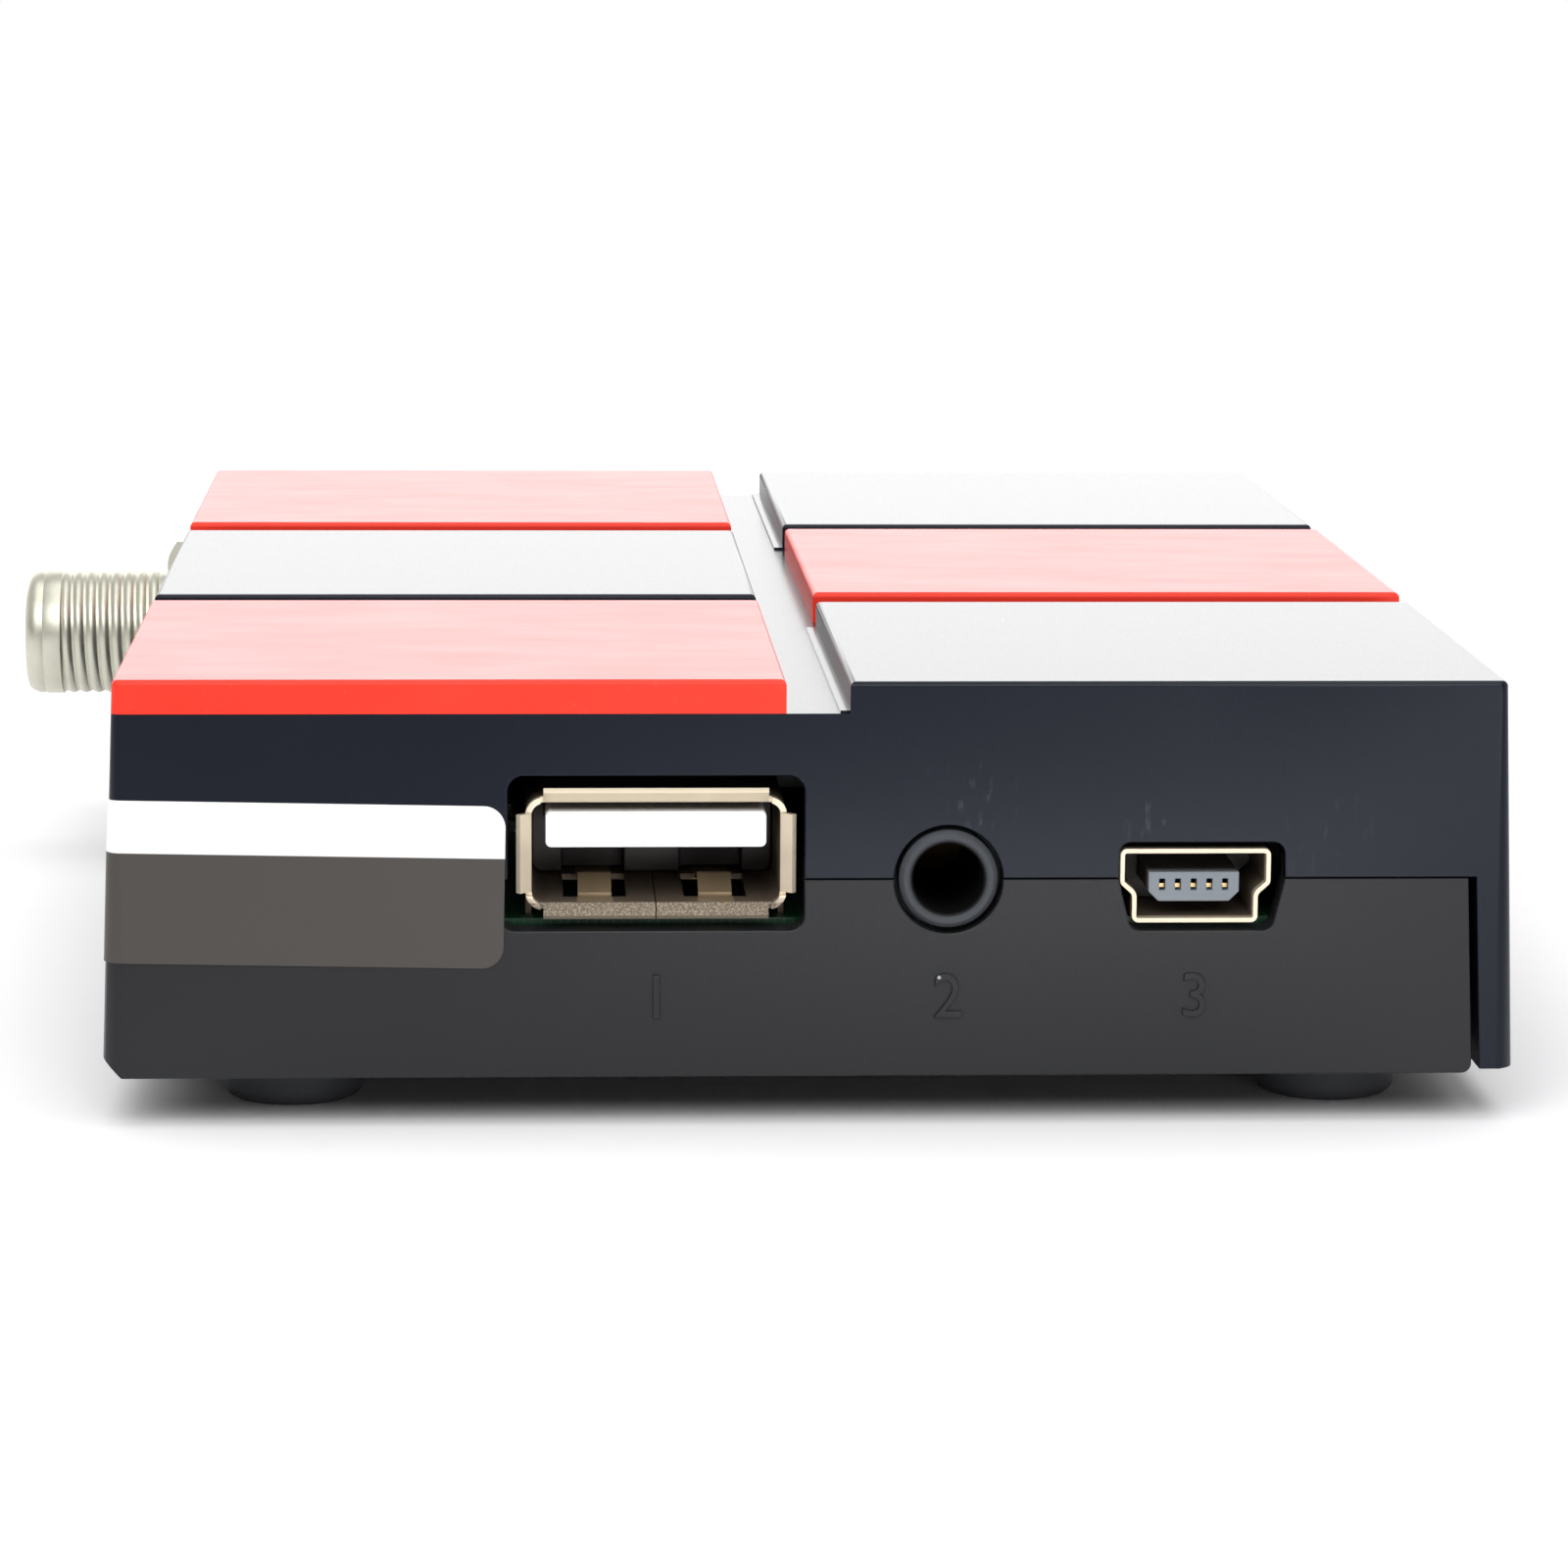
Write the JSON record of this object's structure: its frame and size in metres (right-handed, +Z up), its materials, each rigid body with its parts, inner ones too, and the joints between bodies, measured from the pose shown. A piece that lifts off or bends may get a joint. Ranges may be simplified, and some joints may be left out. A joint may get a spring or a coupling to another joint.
{
  "type": "satellite television receiver",
  "caption": "Small flat set-top receiver with a chequered red and dark tiled lid, side and rear sockets, a threaded aerial connector and a front window with push buttons.",
  "frame": {"origin": "under the middle of the whole receiver, aerial connector and buttons included, on the surface the feet stand on", "axes": "+Z up; +Y from the front panel to the rear panel; +X along the case, away from the side with the USB socket"},
  "size_m": [0.1, 0.0826, 0.0226],
  "materials": {
    "cover_plastic": "satin, navy black",
    "case_plastic": "fine matt texture, charcoal",
    "red_plastic": "satin red",
    "sticker": "printed film, white band over grey",
    "foot_rubber": "matt",
    "screw_steel": "zinc plated",
    "socket_metal": "nickel-plated sheet",
    "white_plastic": "moulded",
    "gold_contacts": "gold flash",
    "jack_plastic": "moulded, black",
    "grey_plastic": "moulded, blue-grey",
    "tinned_steel": "tinned sheet",
    "nickel_brass": "nickel-plated, satin",
    "board_green": "glass-fibre board, solder mask",
    "chip_black": "moulding compound",
    "sink_aluminium": "extruded",
    "capacitor_can": "drawn can",
    "inductor_black": "ferrite",
    "display_black": "epoxy-filled display",
    "eye_plastic": "dark infrared-pass plastic",
    "lamp_red": "red lens",
    "window_smoke": "smoked acrylic",
    "button_plastic": "satin"
  },
  "bodies": {
    "housing": {"top_cover": "cover_plastic", "bottom_case": "case_plastic", "red_tile_rear_left": "red_plastic", "red_tile_rear_right": "red_plastic", "red_tile_front_centre": "red_plastic", "seal_sticker": "sticker", "feet": "foot_rubber", "case_screws": "screw_steel", "usb_shell": "socket_metal", "usb_insulator": "white_plastic", "usb_contacts": "gold_contacts", "serial_jack_body": "jack_plastic", "serial_jack_contacts": "gold_contacts", "av_jack_body": "jack_plastic", "av_jack_contacts": "gold_contacts", "mini_usb_shell": "socket_metal", "mini_usb_insulator": "grey_plastic", "mini_usb_contacts": "gold_contacts", "tuner_can": "tinned_steel", "aerial_connector_body": "nickel_brass", "aerial_insulator": "white_plastic", "aerial_contact": "gold_contacts", "aerial_nut": "nickel_brass", "hdmi_shell": "socket_metal", "hdmi_insulator": "jack_plastic", "hdmi_contacts": "gold_contacts", "power_jack_body": "jack_plastic", "power_jack_pin": "nickel_brass", "main_board": "board_green", "board_screws": "screw_steel", "processor": "chip_black", "heat_sink": "sink_aluminium", "memory_chip": "chip_black", "flash_chip": "chip_black", "regulator_chip": "chip_black", "capacitors": "capacitor_can", "inductors": "inductor_black", "crystal": "tinned_steel", "chip_resistors": "chip_black", "front_board": "board_green", "board_link_strip": "jack_plastic", "board_link_pins": "gold_contacts", "display_module": "display_black", "infrared_eye": "eye_plastic", "standby_lamp": "lamp_red", "front_window": "window_smoke", "standby_switch": "jack_plastic", "channel_down_switch": "jack_plastic", "channel_up_switch": "jack_plastic"},
    "standby_key": {"standby_button": "button_plastic", "standby_plunger": "white_plastic"},
    "channel_down_key": {"channel_down_button": "button_plastic", "channel_down_plunger": "white_plastic"},
    "channel_up_key": {"channel_up_button": "button_plastic", "channel_up_plunger": "white_plastic"}
  },
  "joints": [
    {"name": "standby_press", "type": "slide", "parent": "housing", "child": "standby_key", "axis": [0, 1, 0], "range_m": [0, 0.0003], "stiffness_N_per_m": 1500, "springref_m": -0.0006},
    {"name": "channel_down_press", "type": "slide", "parent": "housing", "child": "channel_down_key", "axis": [0, 1, 0], "range_m": [0, 0.0003], "stiffness_N_per_m": 1500, "springref_m": -0.0006},
    {"name": "channel_up_press", "type": "slide", "parent": "housing", "child": "channel_up_key", "axis": [0, 1, 0], "range_m": [0, 0.0003], "stiffness_N_per_m": 1500, "springref_m": -0.0006}
  ]
}
